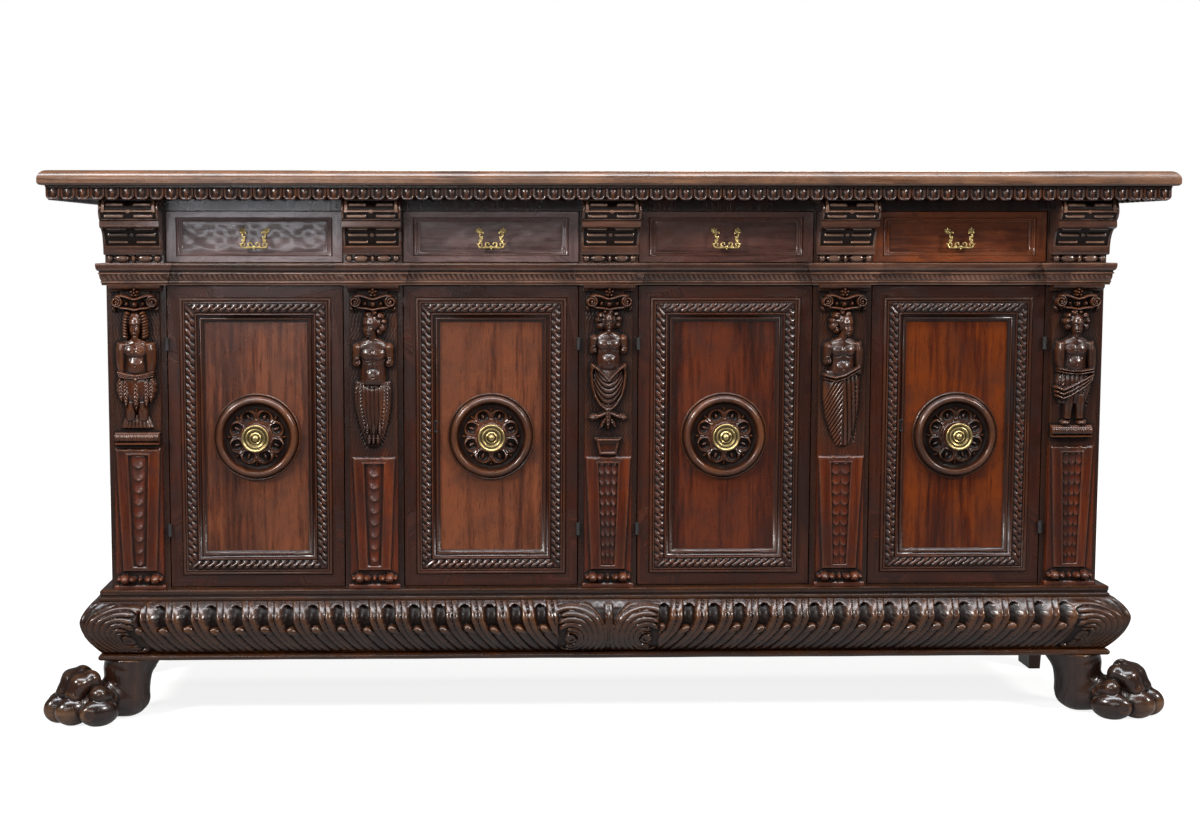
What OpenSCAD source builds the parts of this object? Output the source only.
// Carved walnut credenza: four cupboards under four drawers, five figured
// pilasters, a gadrooned plinth and lion paw feet.
// Millimetres. X runs along the front, the front faces -Y, Z is up from the
// floor. The origin is on the floor, in the middle of the overall box.

/* [Front layout] */
// Distance from the middle of one post to the middle of the next
bay_pitch = 496; // [450:1:560]
// Width of each front post, the zone that carries a pilaster and a console
post_w = 124; // [118:1:136]
// Depth of the case from its front plane to its back
case_depth = 485; // [430:5:560]

/* [Heights] */
// Height of the feet, from the floor to the underside of the plinth
foot_h = 130; // [120:1:150]
// Height of the gadrooned plinth
plinth_h = 152; // [140:1:175]
// Height of the door openings
door_opening_h = 643; // [560:1:720]
// Height of the waist cornice between doors and drawers
waist_h = 46; // [42:1:54]
// Height of the drawer openings
drawer_opening_h = 109; // [96:1:130]
// Height of the plain rail over the drawers, up to the soffit
frieze_h = 28; // [22:1:40]
// Height of the course of tongues under the top board
course_h = 22; // [20:1:30]
// Thickness of the top board
top_t = 30; // [24:1:36]

/* [Overhangs] */
// How far the top board stands out past the case, at the front and sides
top_over = 115; // [110:1:130]
// How far the tongue course is set back from the top board's edge
course_setback = 14; // [10:1:20]
// How far the plinth bulges past the case
plinth_bulge = 64; // [50:1:70]
// How far the mouldings over and under the gadroons stand out
plinth_cap_out = 24; // [20:1:30]
// How far the waist cornice stands out from the surface behind it
waist_out = 17; // [12:1:22]
// How far the waist cornice breaks forward in front of each post
waist_break = 15; // [10:1:20]
// How far the consoles swell out past the case front
console_out = 84; // [70:1:90]

/* [Boards] */
// Thickness of the end boards and the case floor
board_t = 22; // [18:1:26]
// Thickness of the front posts and rails
frame_t = 26; // [22:1:32]
// Thickness of the back panel
back_t = 12; // [9:1:16]
// Thickness of the shelves and of the deck under the drawers
shelf_t = 18; // [14:1:22]
// Thickness of the boards of the plinth frame
plinth_t = 25; // [20:1:30]
// Height of the shelves above the case floor
shelf_z = 300; // [200:1:400]

/* [Doors] */
// Thickness of the door frames
door_t = 22; // [20:1:26]
// Width of the door frame members
door_member_w = 76; // [68:1:84]
// Thickness of the door panels
panel_t = 10; // [8:1:12]
// How far the door panel lies behind the door front
panel_inset = 10; // [8:1:11]
// Gap between a door and its opening
door_gap = 2; // [1.8:0.1:3]
// Radius of the turned rosette
rosette_r = 93; // [84:1:100]
// Radius of the brass knob
knob_r = 29; // [24:1:34]
// Length of the knob's stem, from the rosette to the dished head
knob_stem_l = 20; // [12:1:24]
// Distance of each hinge from the nearer end of the door
hinge_inset = 122; // [100:1:150]
// Radius of the hinge knuckles
knuckle_r = 4.5; // [4:0.1:5]
// Radius of the hinge pins
hinge_pin_r = 2; // [1.5:0.1:2.4]
// Height of a hinge's leaves
hinge_leaf_h = 26; // [20:1:32]
// Travel of the lock bolts
bolt_travel = 10; // [6:1:12]

/* [Drawers] */
// Gap between a drawer front and its opening
drawer_gap = 1.5; // [1:0.1:2.5]
// Thickness of the drawer fronts
drawer_front_t = 22; // [20:1:26]
// Length of the drawer boxes behind their fronts
drawer_box_l = 400; // [340:5:420]
// Thickness of the drawer sides and backs
drawer_side_t = 12; // [9:1:15]
// Thickness of the drawer bottoms
drawer_bottom_t = 8; // [6:1:10]
// Distance between the two posts of a pull
pull_w = 51; // [44:1:64]
// Drop of a bail from its pivots to its lowest bar
bail_drop = 30; // [26:1:34]
// Radius of the bail wire
bail_r = 2.2; // [1.8:0.1:2.4]

/* [Pilasters] */
// Width of a pilaster's backing
pilaster_w = 100; // [92:1:104]
// Thickness of a pilaster's backing
pilaster_t = 12; // [10:1:14]
// Height of the capitals
capital_h = 44; // [38:1:50]

/* [Plinth carving] */
// Pitch of the gadroons along the plinth
gadroon_pitch = 54; // [46:1:64]
// Depth of the grooves between the gadroons
gadroon_depth = 7; // [4:1:9]
// How far a gadroon leans sideways over its height
gadroon_lean = 30; // [0:1:40]

/* [Hidden] */
bays = 4;
posts = bays + 1;
$fn = 48;

// Clearances
run_gap = 0.3;
pin_gap = 0.05;
// Hairline left at each joint between boards
joint_gap = 0.1;
eps = 0.01;

// Levels from the floor up
plinth_z = foot_h;
floor_z = plinth_z + plinth_h;
waist_z = floor_z + door_opening_h;
drawer_z = waist_z + waist_h;
frieze_z = drawer_z + drawer_opening_h;
soffit_z = frieze_z + frieze_h;
top_z = soffit_z + course_h;
total_h = top_z + top_t;

// Plan: the overall box is centred on the origin
case_half = bays * bay_pitch / 2 + post_w / 2;
total_depth = case_depth + top_over;
front_y = top_over - total_depth / 2;
back_y = total_depth / 2;
inner_y = front_y + frame_t;
panel_y = back_y - back_t;
opening_w = bay_pitch - post_w;
course_out = top_over - course_setback;
course_t = 16;
tongue_drop = 8;
tongue_pitch = 30;
tongue_gap = 3;
tongue_r = 9;
corner_block = 110;

// Doors and drawers
door_w = opening_w - 2 * door_gap;
door_h = door_opening_h - 2 * door_gap;
door_z = floor_z + door_gap;
door_mid_z = door_z + door_h / 2;
hinge_out = knuckle_r + 0.5;
leaf_t = door_gap * 0.4;
lock_z = door_mid_z + 22;
bolt_t = 8;
bolt_h = 22;
bolt_l = 46;
drawer_front_w = opening_w - 2 * drawer_gap;
drawer_front_h = drawer_opening_h - 2 * drawer_gap;
drawer_mid_z = drawer_z + drawer_opening_h / 2;
drawer_box_w = drawer_front_w - 4;
drawer_box_h = drawer_opening_h - 19;
field_inset = 6;
pull_z = drawer_mid_z + 9;
pull_eye_out = 8;
pull_bar_r = 1.6;
pull_plate_t = 2;

// Colours
walnut = "#4a2a1b";
walnut_light = "#6e4022";
walnut_dark = "#38221a";
iron = "#3b3b3e";
brass = "#b7a267";

// Points on an arc, in a plane
function arc(cx, cy, r, from, to, steps = 8) =
    [for (i = [0:steps]) let (a = from + (to - from) * i / steps) [cx + r * cos(a), cy + r * sin(a)]];

function post_x(n) = (n - 1 - bays / 2) * bay_pitch;
function bay_x(n) = (n - 0.5 - bays / 2) * bay_pitch;
// Doors 1 and 3 hang on their left edge, doors 2 and 4 on their right
function hinge_side(n) = n % 2 == 1 ? -1 : 1;
function smooth(t) = let (u = max(0, min(1, t))) u * u * (3 - 2 * u);

// A profile of [out, height] points, run along X and standing out towards the front
module along_x(profile, x0, x1) {
    translate([x0, 0, 0]) rotate([90, 0, 90]) linear_extrude(x1 - x0)
        polygon([for (p = profile) [front_y - p[0], p[1]]]);
}

// A flat outline of [x, z] points, standing from one distance out to another
module facing(out0, out1) {
    translate([0, front_y - out0, 0]) rotate([90, 0, 0]) linear_extrude(out1 - out0) children();
}

// A box given by its lowest and highest corners
module span(low, high) {
    translate(low) cube([high[0] - low[0], high[1] - low[1], high[2] - low[2]]);
}

// A strip of moulding along the front, mitred at both ends
module front_strip(profile, reach, z0, z1) {
    intersection() {
        along_x(profile, -case_half - reach, case_half + reach);
        translate([0, 0, z0]) linear_extrude(z1 - z0)
            polygon([[-case_half, front_y], [-case_half - reach, front_y - reach],
                [case_half + reach, front_y - reach], [case_half, front_y]]);
    }
}

// The matching strip along one end. Its front is mitred, or square where mitre is 0
module end_strip(profile, reach, z0, z1, side, mitre = 1) {
    intersection() {
        translate([0, back_y, 0]) rotate([90, 0, 0]) linear_extrude(back_y - front_y + reach)
            polygon([for (p = profile) [side * (case_half + p[0]), p[1]]]);
        translate([0, 0, z0]) linear_extrude(z1 - z0)
            polygon([[side * case_half, front_y + joint_gap],
                [side * (case_half + reach), front_y - mitre * reach + joint_gap],
                [side * (case_half + reach), back_y], [side * case_half, back_y]]);
    }
}

// A smooth egg shape from one ball
module egg(place, radii) {
    translate(place) hull() scale(radii) sphere(1, $fn = 14);
}

module top_board() color(walnut_light) {
    half = case_half + top_over;
    nose = top_t * 0.6;
    side_edge = concat([[-half, top_z + 4], [-half + 4, top_z], [half - 4, top_z], [half, top_z + 4]],
        arc(half - nose, total_h - nose, nose, 0, 90), arc(-half + nose, total_h - nose, nose, 90, 180));
    front_edge = concat([[back_y, total_h], [back_y, top_z], [front_y - top_over + 4, top_z],
        [front_y - top_over, top_z + 4]],
        arc(front_y - top_over + nose, total_h - nose, nose, 180, 90));
    intersection() {
        translate([0, back_y, 0]) rotate([90, 0, 0]) linear_extrude(total_depth) polygon(side_edge);
        translate([-half, 0, 0]) rotate([90, 0, 90]) linear_extrude(2 * half) polygon(front_edge);
    }
}

// A strip hanging from the top board, cut into round tongues along its lower edge
module tongue_outline(x0, x1) {
    count = max(1, round((x1 - x0) / tongue_pitch));
    pitch = (x1 - x0) / count;
    half_w = (pitch - tongue_gap) / 2;
    root_z = soffit_z + 4;
    tip_z = soffit_z - tongue_drop;
    polygon(concat([[x0, top_z], [x0, root_z]],
        [for (i = [0:count - 1]) let (x = x0 + (i + 0.5) * pitch) each concat([[x - half_w, root_z]],
            arc(x - half_w + tongue_r, tip_z + tongue_r, tongue_r, 180, 270, 4),
            arc(x + half_w - tongue_r, tip_z + tongue_r, tongue_r, 270, 360, 4),
            [[x + half_w, root_z]])],
        [[x1, root_z], [x1, top_z]]));
}

module top_moulding() color(walnut) {
    half = case_half + course_out;
    // Soffit boards between the case and the course
    soffit_x = half - course_t - joint_gap;
    span([-soffit_x, front_y - course_out + course_t + joint_gap, soffit_z], [soffit_x, front_y, top_z]);
    for (s = [-1, 1])
        span([min(s * case_half, s * soffit_x), front_y + joint_gap, soffit_z],
            [max(s * case_half, s * soffit_x), back_y, top_z]);
    // The course itself: front and two ends
    facing(course_out - course_t, course_out) tongue_outline(-half, half);
    for (s = [-1, 1]) translate([s > 0 ? half - course_t : -half, 0, 0]) rotate([90, 0, 90])
        linear_extrude(course_t) tongue_outline(front_y - course_out + course_t + joint_gap, back_y);
}

module front_frame() color(walnut_dark) {
    difference() {
        for (n = [1:posts])
            span([post_x(n) - post_w / 2, front_y, floor_z], [post_x(n) + post_w / 2, inner_y, top_z]);
        // Mortises for the lock bolts, beside the doors that lock
        for (n = [2:2:bays])
            translate([bay_x(n) - opening_w / 2 - bolt_travel - 2, front_y + door_t / 2 - bolt_t / 2 - 1,
                lock_z - bolt_h / 2 - 1])
                cube([bolt_travel + 2 + eps, bolt_t + 2, bolt_h + 2]);
    }
    for (n = [1:bays]) {
        x0 = bay_x(n) - opening_w / 2 + joint_gap;
        x1 = bay_x(n) + opening_w / 2 - joint_gap;
        span([x0, front_y, waist_z], [x1, inner_y, drawer_z]);
        span([x0, front_y, frieze_z], [x1, inner_y, top_z]);
    }
}

// Profile of the waist cornice: ovolo, fillet, cove, carved band and fillet
function waist_profile(back = 0) = let (h = waist_h, w = waist_out) concat(
    [[-back, waist_z], [w * 0.35, waist_z], [w * 0.35, waist_z + h * 0.1]],
    [[w * 0.5, waist_z + h * 0.12], [w * 0.6, waist_z + h * 0.26], [w * 0.5, waist_z + h * 0.44]],
    arc(w * 0.88, waist_z + h * 0.44, w * 0.38, 180, 90, 4),
    [[w * 0.88, waist_z + h * 0.72], [w, waist_z + h * 0.74]],
    [[w, waist_z + h * 0.94], [w * 0.9, waist_z + h], [-back, waist_z + h]]);

module waist_cornice() color(walnut) {
    profile = waist_profile();
    front_strip(profile, waist_out, waist_z, drawer_z);
    // The breaks in front of the posts
    for (n = [1:posts]) intersection() {
        along_x([for (p = waist_profile(waist_break)) [p[0] + waist_break, p[1]]],
            post_x(n) - post_w, post_x(n) + post_w);
        facing(0, waist_break + waist_out)
            polygon(concat([for (p = profile) [post_x(n) - post_w / 2 - p[0], p[1]]],
                [for (i = [len(profile) - 1:-1:0])
                    [post_x(n) + post_w / 2 + profile[i][0], profile[i][1]]]));
    }
    for (s = [-1, 1]) end_strip(profile, waist_out, waist_z, drawer_z, s, mitre = 0);
}

// One end: a frame with an upper and a lower panel
module case_ends() color(walnut) for (s = [-1, 1]) {
    member = 90;
    outer_x = s * case_half;
    inner_x = s * (case_half - board_t);
    field_x = s * (case_half - board_t * 0.4);
    low_x = min(outer_x, inner_x);
    high_x = max(outer_x, inner_x);
    span([low_x, inner_y, floor_z], [high_x, inner_y + member, top_z]);
    span([low_x, back_y - member, floor_z], [high_x, back_y, top_z]);
    for (rail = [[floor_z, member], [waist_z, waist_h], [top_z - member / 2, member / 2]])
        span([low_x, inner_y + member, rail[0]], [high_x, back_y - member, rail[0] + rail[1]]);
    for (field = [[floor_z + member, waist_z], [drawer_z, top_z - member / 2]])
        span([min(inner_x, field_x), inner_y + member + joint_gap, field[0] + joint_gap],
            [max(inner_x, field_x), back_y - member - joint_gap, field[1] - joint_gap]);
}

module back_panel() color(walnut_dark)
    span([-case_half + board_t, panel_y, floor_z], [case_half - board_t, back_y, top_z]);

module bottom_board() color(walnut_dark)
    span([-case_half + board_t, inner_y, floor_z], [case_half - board_t, panel_y, floor_z + board_t]);

module drawer_deck() color(walnut_dark)
    span([-case_half + board_t, inner_y, drawer_z - shelf_t], [case_half - board_t, panel_y, drawer_z]);

module partitions() color(walnut_dark) for (n = [2:posts - 1]) {
    span([post_x(n) - board_t / 2, inner_y, floor_z + board_t],
        [post_x(n) + board_t / 2, panel_y, drawer_z - shelf_t]);
    span([post_x(n) - board_t / 2, inner_y, drawer_z], [post_x(n) + board_t / 2, panel_y, top_z]);
}

// Distance from a bay's middle to the boards at its left and right
function bay_left(n) = n == 1 ? -case_half + board_t : post_x(n) + board_t / 2;
function bay_right(n) = n == bays ? case_half - board_t : post_x(n + 1) - board_t / 2;

module shelves() color(walnut_light) for (n = [1:bays])
    span([bay_left(n), inner_y + 30, floor_z + board_t + shelf_z],
        [bay_right(n), panel_y, floor_z + board_t + shelf_z + shelf_t]);

// Strips that fill the room beside each drawer box and keep it straight
module drawer_guides() color(walnut_light) for (n = [1:bays]) {
    half = drawer_box_w / 2 + run_gap;
    span([bay_left(n), inner_y, drawer_z], [bay_x(n) - half, panel_y, drawer_z + 20]);
    span([bay_x(n) + half, inner_y, drawer_z], [bay_right(n), panel_y, drawer_z + 20]);
}

module plinth_frame() color(walnut_dark) {
    span([-case_half, front_y, plinth_z], [case_half, front_y + plinth_t, floor_z]);
    span([-case_half, back_y - plinth_t, plinth_z], [case_half, back_y, floor_z]);
    for (s = [-1, 1]) {
        x0 = s > 0 ? case_half - plinth_t : -case_half;
        y0 = front_y + plinth_t + joint_gap;
        y1 = back_y - plinth_t - joint_gap;
        span([x0, y0, plinth_z], [x0 + plinth_t, y1, floor_z]);
        // Corner blocks over the feet
        for (corner_y = [y0, y1 - corner_block])
            span([s > 0 ? x0 - joint_gap - corner_block : x0 + plinth_t + joint_gap, corner_y, plinth_z],
                [s > 0 ? x0 - joint_gap : x0 + plinth_t + joint_gap + corner_block,
                    corner_y + corner_block, floor_z]);
    }
    for (n = [2:posts - 1])
        span([post_x(n) - plinth_t / 2, front_y + plinth_t + joint_gap, plinth_z],
            [post_x(n) + plinth_t / 2, back_y - plinth_t - joint_gap, floor_z]);
}

// Plinth moulding levels
cap_h = 24;
toe_h = 13;
gadroon_z0 = plinth_z + toe_h + joint_gap;
gadroon_z1 = floor_z - cap_h - joint_gap;
gadroon_rows = 6;
lobe_steps = 4;

// How far the plain bulge stands out at a share t of its height
function bulge(t) = plinth_cap_out + (plinth_bulge - plinth_cap_out)
    * (t < 0.8 ? sin(90 * t / 0.8) : 0.35 + 0.65 * cos(90 * (t - 0.8) / 0.2));
// Depth of carving at place u along the strip: a groove every pitch
function lobe(i) = let (phase = i % lobe_steps) phase == 0 ? 1 : phase == 2 ? 0 : 0.25;

// Rings of points from one end of a strip to the other. Each ring runs round
// the strip's section: low at the back, up over the bulge, high at the back.
// The first and last rings lie on the mitres and carry no carving.
function gadroon_ring(u, i, last, lean, mitre_low, mitre_high) = [
    for (r = [-1:gadroon_rows + 1]) let (
        t = max(0, min(gadroon_rows, r)) / gadroon_rows,
        at_back = r < 0 || r > gadroon_rows,
        carve = i == 0 || i == last ? 0 : lobe(i) * sin(180 * t) * gadroon_depth,
        out = at_back ? 0 : bulge(t) - carve,
        shift = at_back ? 0 : lean * (t - 0.5))
        [u + shift + (i == 0 ? -mitre_low * out : i == last ? mitre_high * out : 0),
            out, gadroon_z0 + t * (gadroon_z1 - gadroon_z0)]];

// Joins rings of equal length into a closed solid
module loft(rings) {
    n = len(rings[0]);
    last = len(rings) - 1;
    polyhedron(points = [for (ring = rings) each ring],
        faces = concat([[for (k = [n - 1:-1:0]) k]],
            [for (j = [0:last - 1]) for (k = [0:n - 1]) for (half = [0, 1]) let (m = (k + 1) % n)
                half == 0 ? [j * n + k, (j + 1) * n + m, (j + 1) * n + k]
                    : [j * n + k, j * n + m, (j + 1) * n + m]],
            [[for (k = [0:n - 1]) last * n + k]]));
}

// Lean of the gadroons at place x on the front: away from the middle,
// and upright at the middle and at the corners
function front_lean(x) = -sign(x) * gadroon_lean * smooth(abs(x) / 120)
    * smooth((case_half - abs(x)) / 90);

module base_moulding() color(walnut) {
    cap = plinth_cap_out;
    count = 2 * round(case_half / gadroon_pitch) * lobe_steps;
    rings = [for (i = [0:count]) let (x = -case_half + 2 * case_half * i / count)
        gadroon_ring(x, i, count, front_lean(x), 1, 1)];
    loft([for (ring = rings) [for (p = ring) [p[0], front_y - p[1], p[2]]]]);
    side_y = front_y + joint_gap;
    side_l = back_y - side_y;
    side_count = round(side_l / gadroon_pitch) * lobe_steps;
    side_rings = [for (i = [0:side_count]) let (y = side_y + side_l * i / side_count)
        gadroon_ring(y, i, side_count, gadroon_lean * smooth((y - front_y) / 90)
            * smooth((back_y - y) / 90), 1, 0)];
    for (s = [0, 1]) mirror([s, 0, 0])
        loft([for (ring = side_rings) [for (p = ring) [case_half + p[1], p[0], p[2]]]]);
    // Mouldings over and under the gadroons
    cap_z = floor_z - cap_h;
    over = [[0, cap_z], [cap, cap_z], [cap, cap_z + 7], [cap - 3, cap_z + 8],
        [cap - 3, cap_z + 12], [cap - 2, cap_z + 13], [cap - 2, floor_z - 2],
        [cap - 4, floor_z], [0, floor_z]];
    under = concat([[0, plinth_z], [cap - 2, plinth_z]],
        arc(cap - 4, plinth_z + toe_h / 2, toe_h / 2, -60, 60, 6), [[0, plinth_z + toe_h]]);
    front_strip(over, cap, cap_z, floor_z);
    front_strip(under, cap + 4, plinth_z, plinth_z + toe_h);
    for (s = [-1, 1]) {
        end_strip(over, cap, cap_z, floor_z, s);
        end_strip(under, cap + 4, plinth_z, plinth_z + toe_h, s);
    }
}

// Lion paw, with its heel at the origin and its toes along X
paw_l = 200;
paw_heel_in = 41;
paw_heel_back = 35;
paw_turn = 31;
// Middle and radius of the flared top of the leg, then of its ankle
leg_top_u = 8;
leg_top_r = 58;
ankle_u = 18;
ankle_r = 50;
flare_h = 26;
// Ridge over each toe: place across, then along and up for its top and for its foot, and its radius
toe_ridges = [[-48, 106, 96, 140, 60, 18], [-17, 113, 99, 152, 60, 19],
              [17, 108, 94, 143, 60, 19], [48, 88, 66, 106, 52, 19]];
// Pad of each toe: its middle, then its half sizes
toe_pads = [[150, -50, 30, 32, 22, 30], [164, -17, 31, 36, 22, 31],
            [149, 19, 31, 38, 24, 31], [104, 53, 28, 42, 22, 28]];

module ball(place, r, facets = 14) translate(place) sphere(r, $fn = facets);

// Slice of the leg at its ankle
module ankle() translate([ankle_u, 0, foot_h - flare_h]) cylinder(h = 2, r = ankle_r, $fn = 24);

module paw() intersection() {
    translate([-paw_l, -paw_l, 0]) cube([2 * paw_l + 100, 2 * paw_l, foot_h]);
    union() {
        // Flared top of the leg
        translate([leg_top_u, 0, foot_h - 6]) cylinder(h = 6, r = leg_top_r, $fn = 32);
        hull() {
            translate([leg_top_u, 0, foot_h - 7]) cylinder(h = 2, r = leg_top_r - 2, $fn = 24);
            ankle();
        }
        // Leg and heel
        hull() {
            ankle();
            ball([20, 0, 50], ankle_r - 2, 20);
            ball([22, 0, 34], 38, 18);
        }
        // Back and sole of the foot
        hull() {
            ball([54, 0, 44], 40, 18);
            translate([120, -4, 38]) scale([1, 1.4, 1]) sphere(34, $fn = 18);
        }
        // Knuckle ridges
        for (ridge = toe_ridges) hull() {
            ball([ridge[1] - 12, ridge[0] * 0.8, 50], ridge[5]);
            ball([ridge[1], ridge[0] * 0.86, ridge[2]], ridge[5] - 2);
            ball([ridge[3], ridge[0] * 0.98, ridge[4]], ridge[5] + 1);
        }
        // Toe pads
        for (pad = toe_pads) translate([pad[0], pad[1], pad[2]])
            scale([pad[3], pad[4], pad[5]] / ankle_r) sphere(ankle_r, $fn = 16);
    }
}

module paw_feet() color(walnut) for (s = [0, 1]) mirror([s, 0, 0])
    translate([-case_half + paw_heel_in, front_y + paw_heel_back, 0]) rotate([0, 0, 180 + paw_turn])
        render() paw();

// Plain tapered posts under the back corners, flush with the plinth's lower moulding
rear_foot_w = 38;
rear_foot_l = 90;
rear_foot_taper = 6;
module rear_feet() color(walnut_dark) for (s = [0, 1]) mirror([s, 0, 0]) {
    outer_x = case_half + plinth_cap_out - 2;
    intersection() {
        translate([0, back_y, 0]) rotate([90, 0, 0]) linear_extrude(rear_foot_l)
            polygon([[outer_x - rear_foot_w + rear_foot_taper, 0], [outer_x - rear_foot_taper, 0],
                [outer_x, foot_h], [outer_x - rear_foot_w, foot_h]]);
        translate([outer_x - rear_foot_w, 0, 0]) rotate([90, 0, 90]) linear_extrude(rear_foot_w)
            polygon([[back_y - rear_foot_l + rear_foot_taper, 0], [back_y, 0],
                [back_y, foot_h], [back_y - rear_foot_l, foot_h]]);
    }
}

// Place of a hinge's axis: level with the middle of the gap, just in front of the door
function hinge_x(n) = bay_x(n) + hinge_side(n) * (opening_w / 2 - door_gap / 2);
function hinge_levels() = [door_z + hinge_inset, door_z + door_h - hinge_inset];

// The fixed half of each hinge: lower knuckle and a leaf on the post
module hinge_eyes() color(iron) for (n = [1:bays]) for (z = hinge_levels()) {
    s = hinge_side(n);
    edge_x = bay_x(n) + s * opening_w / 2;
    low_x = min(edge_x, edge_x - s * leaf_t);
    difference() {
        union() {
            translate([hinge_x(n), front_y - hinge_out, z - hinge_leaf_h / 2])
                cylinder(h = hinge_leaf_h / 2 - run_gap / 2, r = knuckle_r);
            span([low_x, front_y - hinge_out, z - hinge_leaf_h / 2],
                [low_x + leaf_t, front_y + door_t - 4, z - run_gap / 2]);
            span([low_x, front_y, z - hinge_leaf_h / 2],
                [low_x + leaf_t, front_y + door_t - 4, z + hinge_leaf_h / 2]);
        }
        translate([hinge_x(n), front_y - hinge_out, z - hinge_leaf_h / 2 - 1])
            cylinder(h = hinge_leaf_h, r = hinge_pin_r + pin_gap);
    }
}

// The moving half: upper knuckle, pin and a leaf on the door's edge
module door_hinges(n) color(iron) for (z = hinge_levels()) {
    s = hinge_side(n);
    edge_x = bay_x(n) + s * (opening_w / 2 - door_gap);
    low_x = min(edge_x, edge_x + s * leaf_t);
    translate([hinge_x(n), front_y - hinge_out, z + run_gap / 2])
        cylinder(h = hinge_leaf_h / 2 - run_gap / 2, r = knuckle_r);
    translate([hinge_x(n), front_y - hinge_out, z - hinge_leaf_h / 2])
        cylinder(h = hinge_leaf_h / 2 + 1, r = hinge_pin_r);
    span([low_x, front_y - hinge_out, z + run_gap / 2],
        [low_x + leaf_t, front_y + door_t - 4, z + hinge_leaf_h / 2]);
}

// Section of a door's frame members: distance in from the door's edge, height out
function member_section() = let (w = door_member_w) concat(
    [[0, -door_t], [0, 0], [w * 0.33, 0], [w * 0.34, 3]],
    arc(w * 0.39, 3, w * 0.05, 180, 0, 6),
    [[w * 0.45, 2], [w * 0.48, 2], [w * 0.49, 5], [w * 0.74, 5], [w * 0.75, 2], [w * 0.79, 2], [w * 0.8, 5]],
    arc(w * 0.85, 4, w * 0.05, 150, 20, 5),
    [[w * 0.93, -2], [w * 0.98, -panel_inset * 0.6], [w, -panel_inset * 0.7], [w, -door_t]]);

// One mitred member. The long edge runs along X at the lower side
module member(length) {
    section = member_section();
    intersection() {
        translate([-length / 2, 0, 0]) rotate([90, 0, 90]) linear_extrude(length)
            polygon([for (p = section) [-p[1], p[0]]]);
        translate([0, door_t + 1, 0]) rotate([90, 0, 0]) linear_extrude(door_t + 20)
            polygon([[-length / 2 + joint_gap, 0], [length / 2 - joint_gap, 0],
                [length / 2 - joint_gap - door_member_w, door_member_w],
                [-length / 2 + joint_gap + door_member_w, door_member_w]]);
    }
}

module door_frame(n) color(walnut) difference() {
    translate([bay_x(n), front_y, door_mid_z]) {
        for (s = [0, 1]) rotate([0, 180 * s, 0]) {
            translate([0, 0, -door_h / 2]) member(door_w);
            rotate([0, 90, 0]) translate([0, 0, -door_w / 2]) member(door_h);
        }
    }
    if (n % 2 == 0) {
        edge_x = bay_x(n) - door_w / 2;
        // Slot for the lock bolt
        translate([edge_x - 1, front_y + door_t / 2 - bolt_t / 2 - run_gap, lock_z - bolt_h / 2 - run_gap])
            cube([bolt_l + bolt_travel, bolt_t + 2 * run_gap, bolt_h + 2 * run_gap]);
        // Keyhole, a slot with round ends
        translate([edge_x + door_member_w * 0.88, front_y + door_t / 2, lock_z]) rotate([90, 0, 0]) {
            for (dz = [-7, 7]) translate([0, dz, 0]) cylinder(h = door_t + 16, r = 3);
            translate([-3, -7, 0]) cube([6, 14, door_t + 16]);
        }
    }
}

module door_panel(n) color(walnut_light) {
    half_w = door_w / 2 - door_member_w;
    half_h = door_h / 2 - door_member_w;
    span([bay_x(n) - half_w, front_y + panel_inset, door_mid_z - half_h],
        [bay_x(n) + half_w, front_y + panel_inset + panel_t, door_mid_z + half_h]);
}

// Levels of the rosette, out from the panel face
rosette_rim_out = 20;
rosette_dish_out = 8;
rosette_seat_out = 16;
petals = 8;

module from_panel(n) {
    translate([bay_x(n), front_y + panel_inset, door_mid_z]) rotate([90, 0, 0]) children();
}

module door_rosette(n) color(walnut) from_panel(n) {
    r = rosette_r;
    rotate_extrude() union() {
        square([r * 0.72, rosette_dish_out]);
        square([r - 4, 9]);
        square([knob_r * 0.9, rosette_seat_out]);
        translate([r * 0.965, 6]) circle(r * 0.035);
        translate([r * 0.87, 9]) circle(r * 0.075);
        translate([r * 0.79, 0]) square([r * 0.13, rosette_rim_out - 5]);
        translate([r * 0.84, rosette_rim_out - 5]) circle(5);
    }
    // Petals round the seat of the knob
    for (i = [0:petals - 1]) rotate([0, 0, (i + 0.5) * 360 / petals]) {
        translate([r * 0.5, 0, 0]) cylinder(h = rosette_seat_out - 2, r = r * 0.14);
        rotate([0, 0, 180 / petals]) translate([r * 0.42, -2.5, 0]) cube([r * 0.22, 5, rosette_seat_out - 3]);
    }
}

module door_knob(n) color(brass) from_panel(n) translate([0, 0, rosette_seat_out]) rotate_extrude() {
    polygon([[0, 0], [12, 0], [12, 2], [8, 4], [6, 8], [6, knob_stem_l - 4], [knob_r - 6, knob_stem_l - 2],
        [knob_r - 1, knob_stem_l + 2], [knob_r, knob_stem_l + 5], [knob_r - 2, knob_stem_l + 7.5],
        [knob_r - 4, knob_stem_l + 7], [knob_r - 8, knob_stem_l + 4], [11, knob_stem_l + 4.5],
        [10, knob_stem_l + 6], [6, knob_stem_l + 6], [5, knob_stem_l + 8], [2, knob_stem_l + 9.5],
        [0, knob_stem_l + 10]]);
}

// Iron bolt in the edge of a door, shown drawn back
module door_bolt(n) color(iron) {
    edge_x = bay_x(n) - door_w / 2;
    span([edge_x + 0.5, front_y + door_t / 2 - bolt_t / 2, lock_z - bolt_h / 2],
        [edge_x + bolt_l, front_y + door_t / 2 + bolt_t / 2, lock_z + bolt_h / 2]);
}

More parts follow.
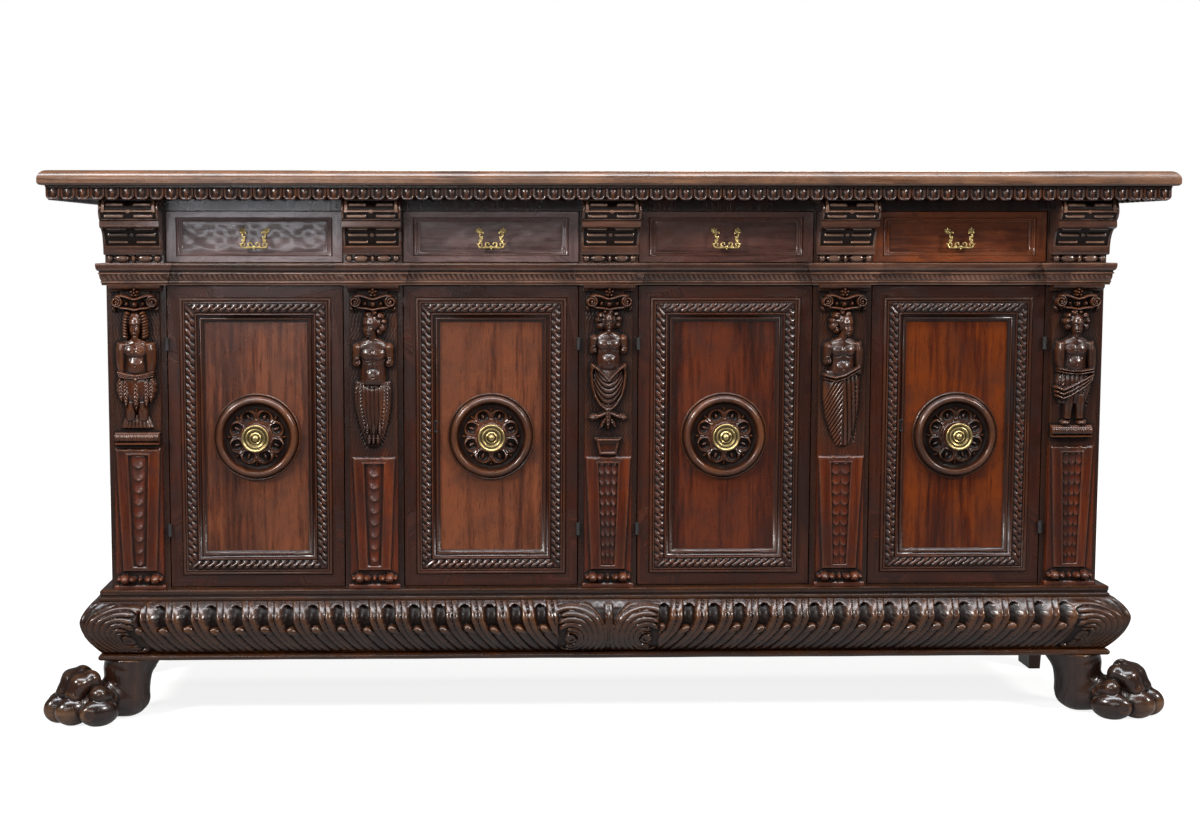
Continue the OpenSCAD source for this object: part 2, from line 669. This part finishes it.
module drawer_front(n) color(walnut_light) {
    half_w = drawer_front_w / 2;
    half_h = drawer_front_h / 2;
    difference() {
        span([bay_x(n) - half_w, front_y, drawer_mid_z - half_h],
            [bay_x(n) + half_w, front_y + drawer_front_t, drawer_mid_z + half_h]);
        // The sunk field, stepped down through its moulding
        for (cut = [[14, 2], [22, 4], [30, field_inset]])
            span([bay_x(n) - half_w + cut[0], front_y - 1, drawer_mid_z - half_h + cut[0] / 2],
                [bay_x(n) + half_w - cut[0], front_y + cut[1], drawer_mid_z + half_h - cut[0] / 2]);
    }
}

module drawer_box(n) color(walnut_light) {
    half_w = drawer_box_w / 2;
    y0 = front_y + drawer_front_t;
    y1 = y0 + drawer_box_l;
    z0 = drawer_z + run_gap;
    z1 = z0 + drawer_box_h;
    for (s = [-1, 1]) {
        x0 = bay_x(n) + (s > 0 ? half_w - drawer_side_t : -half_w);
        span([x0, y0, z0], [x0 + drawer_side_t, y1, z1]);
    }
    inner = half_w - drawer_side_t - joint_gap;
    span([bay_x(n) - inner, y1 - drawer_side_t, z0], [bay_x(n) + inner, y1, z1]);
    span([bay_x(n) - inner, y0, z0 + 4],
        [bay_x(n) + inner, y1 - drawer_side_t - joint_gap, z0 + 4 + drawer_bottom_t]);
}

// Leaf plates and eyes of a pull. Each eye holds one end of the bail
module drawer_posts(n) color(brass) for (s = [-1, 1])
    translate([bay_x(n) + s * pull_w / 2, front_y + field_inset, pull_z]) {
        rotate([90, 0, 0]) {
            cylinder(h = pull_plate_t, r = 5);
            for (a = [0:60:180]) rotate([0, 0, a]) translate([7, 0, 0])
                cylinder(h = pull_plate_t, r = 3.6);
            cylinder(h = field_inset + pull_eye_out - 2, r = 2.4);
        }
        difference() {
            translate([-2, -field_inset - pull_eye_out, 0]) rotate([0, 90, 0]) cylinder(h = 4, r = 4);
            translate([-3, -field_inset - pull_eye_out, 0]) rotate([0, 90, 0])
                cylinder(h = 6, r = pull_bar_r + pin_gap);
        }
    }

// A flat ring, open towards one side
module ring(r, wire) {
    difference() {
        circle(r);
        circle(r - wire);
    }
}

// The bail: two pivot ends in the eyes, scrolled arms and a low bar of scrolls
module drawer_bail(n) color(brass) translate([bay_x(n), front_y - pull_eye_out, pull_z]) {
    arm_x = pull_w / 2 - 6;
    wire = 2 * bail_r;
    for (s = [-1, 1]) translate([s * (pull_w / 2 + 2.5), 0, 0]) rotate([0, -s * 90, 0])
        cylinder(h = 10.5, r = pull_bar_r);
    rotate([90, 0, 0]) linear_extrude(wire, center = true) {
        for (s = [-1, 1]) {
            translate([s * arm_x, 0]) circle(3.2);
            translate([s * arm_x - wire / 2, -bail_drop + 6]) square([wire, bail_drop - 6]);
            translate([s * (arm_x + 3), -bail_drop + 5]) ring(7, wire);
            translate([s * 7, -bail_drop + 5]) ring(6.4, wire * 0.8);
        }
        translate([-arm_x - 2, -bail_drop - wire / 2]) square([2 * arm_x + 4, wire]);
        translate([0, -bail_drop - 1]) circle(4);
    }
}

// Console: a convex roll over a bar, a hollow, and a turned bar at its foot
module consoles() color(walnut) for (n = [1:posts]) {
    half_w = post_w / 2 - 1.5;
    h = soffit_z - drawer_z;
    z0 = drawer_z;
    roll_r = console_out * 0.45;
    roll_h = h * 0.76;
    // The roll ends where it meets the soffit
    roll_end = asin(min(1, (h - roll_h) / roll_r));
    body = concat([[0, z0], [14, z0], [14, z0 + h * 0.14], [console_out * 0.36, z0 + h * 0.14]],
        [for (p = arc(console_out * 0.66, h * 0.18, console_out * 0.34, 180, 100, 6)) [p[0], z0 + p[1]]],
        [[console_out * 0.73, z0 + h * 0.42], [console_out * 0.73, z0 + h * 0.49]],
        [for (p = arc(console_out - roll_r, roll_h, roll_r, -50, roll_end, 10)) [p[0], z0 + p[1]]],
        [[console_out * 0.7, z0 + h], [0, z0 + h]]);
    union() {
        along_x(body, post_x(n) - half_w, post_x(n) + half_w);
        translate([post_x(n) - half_w, front_y - 21, z0 + 9]) rotate([0, 90, 0])
            cylinder(h = 2 * half_w, r = 9);
        translate([post_x(n), front_y, z0 + roll_h]) rotate([90, 0, 0]) cylinder(h = console_out, r = 9);
    }
}

// The carved figures, in the pilaster's own frame: X across, Y towards the
// viewer from the backing, Z up from the case floor.
// Each style gives [head turn, has legs, waist level, drapery foot, columns of scales].
head_z = 570;
shoulder_z = 526;
shelf_level = 330;
function figure_style(n) = [
    [0, true, 424, 384, 1],
    [4, false, 436, 330, 1],
    [0, false, 452, 376, 3],
    [-4, false, 430, 312, 2],
    [0, true, 420, 378, 3]][n - 1];

module figure(style) {
    waist = style[2];
    foot = style[3];
    arm_out = pilaster_w / 3;
    stump_up = 38;
    block_w = 34;
    // Head, hair and neck
    egg([style[0], 13, head_z], [16, 18, 24]);
    egg([-style[0] * 0.5, 4, head_z + 3], [25, 12, 27]);
    translate([0, 7, shoulder_z]) cylinder(h = head_z - shoulder_z, r = 8);
    // Chest down to the waist
    hull() {
        for (s = [-1, 1]) ball([s * 24, 8, shoulder_z - 2], 12, 12);
        for (s = [-1, 1]) ball([s * 10, 7, waist], 11, 12);
    }
    // Belt
    translate([-25, 12, waist - 4]) rotate([0, 90, 0]) cylinder(h = 50, r = 6);
    // Hips and drapery
    hull() {
        for (s = [-1, 1]) ball([s * 14, 5, waist - 16], 13, 12);
        for (s = [-1, 1]) ball([s * 7, 5, foot], 11, 12);
    }
    if (style[1]) {
        // Arms held close, legs, and the shelf under the feet
        for (s = [-1, 1]) {
            translate([s * arm_out, 4, waist + 10]) cylinder(h = shoulder_z - waist - 14, r1 = 6, r2 = 8);
            translate([s * 13, 6, shelf_level - 1]) cylinder(h = foot - shelf_level, r1 = 6, r2 = 9);
        }
        translate([-pilaster_w * 0.43, 0, shelf_level - 14]) cube([pilaster_w * 0.86, 18, 14]);
    } else {
        // Scrolled stumps in place of arms, and a small pedestal
        for (s = [-1, 1]) translate([s * arm_out, 0, waist + stump_up]) rotate([-90, 0, 0]) {
            cylinder(h = 13, r = 10);
            cylinder(h = 17, r = 4);
        }
        translate([-block_w / 2, 0, foot - block_w - 6]) cube([block_w, 12, block_w]);
    }
}

// Tapered panel with columns of overlapping scales
module term(columns) {
    low = 34;
    high = 286;
    scale_r = columns == 1 ? 9 : 7;
    scale_pitch = 23;
    scale_rows = 9;
    rotate([90, 0, 180]) linear_extrude(5) polygon([[-24, low], [24, low], [34, high], [-34, high]]);
    for (i = [0:scale_rows - 1]) for (c = [0:columns - 1])
        translate([(c - (columns - 1) / 2) * 15, 0, low + 34 + i * scale_pitch]) rotate([-90, 0, 0])
            cylinder(h = 9, r = scale_r);
}

module capital() {
    half_w = pilaster_w / 2;
    abacus_h = 12;
    volute_r = 14;
    translate([-half_w - 4, 0, capital_h - abacus_h]) cube([pilaster_w + 8, 14, abacus_h]);
    translate([-half_w + 8, 0, 6]) cube([pilaster_w - 16, 9, capital_h - 18]);
    for (s = [-1, 1]) translate([s * (half_w - 13), 0, volute_r + 1]) rotate([-90, 0, 0]) {
        cylinder(h = 14, r = volute_r);
        cylinder(h = 18, r = 5);
    }
    translate([0, 0, capital_h - 9]) rotate([-90, 0, 0]) cylinder(h = 19, r = 8);
}

module pilaster(n) color(walnut) translate([post_x(n), front_y, floor_z]) rotate([0, 0, 180]) {
    half_w = pilaster_w / 2;
    scroll_h = 28;
    style = figure_style(n);
    // Backing
    translate([-half_w, 0, 0]) cube([pilaster_w, pilaster_t, door_opening_h]);
    translate([0, pilaster_t, 0]) {
        term(style[4]);
        // Foot: two turned scrolls
        for (s = [-1, 1]) translate([s * 6, 4, scroll_h / 2]) rotate([0, s * 90, 0])
            cylinder(h = half_w - 8, r1 = 10, r2 = 6.5);
        translate([-7, 0, 3]) cube([14, 12, scroll_h - 6]);
        figure(style);
        translate([0, 0, door_opening_h - capital_h]) capital();
    }
}

top_board();
top_moulding();
front_frame();
waist_cornice();
case_ends();
back_panel();
bottom_board();
drawer_deck();
partitions();
shelves();
drawer_guides();
plinth_frame();
base_moulding();
paw_feet();
rear_feet();
hinge_eyes();
consoles();
for (n = [1:posts])
    pilaster(n);
for (n = [1:bays]) {
    door_frame(n);
    door_panel(n);
    door_rosette(n);
    door_knob(n);
    door_hinges(n);
    drawer_front(n);
    drawer_box(n);
    drawer_posts(n);
    drawer_bail(n);
}
for (n = [2:2:bays])
    door_bolt(n);
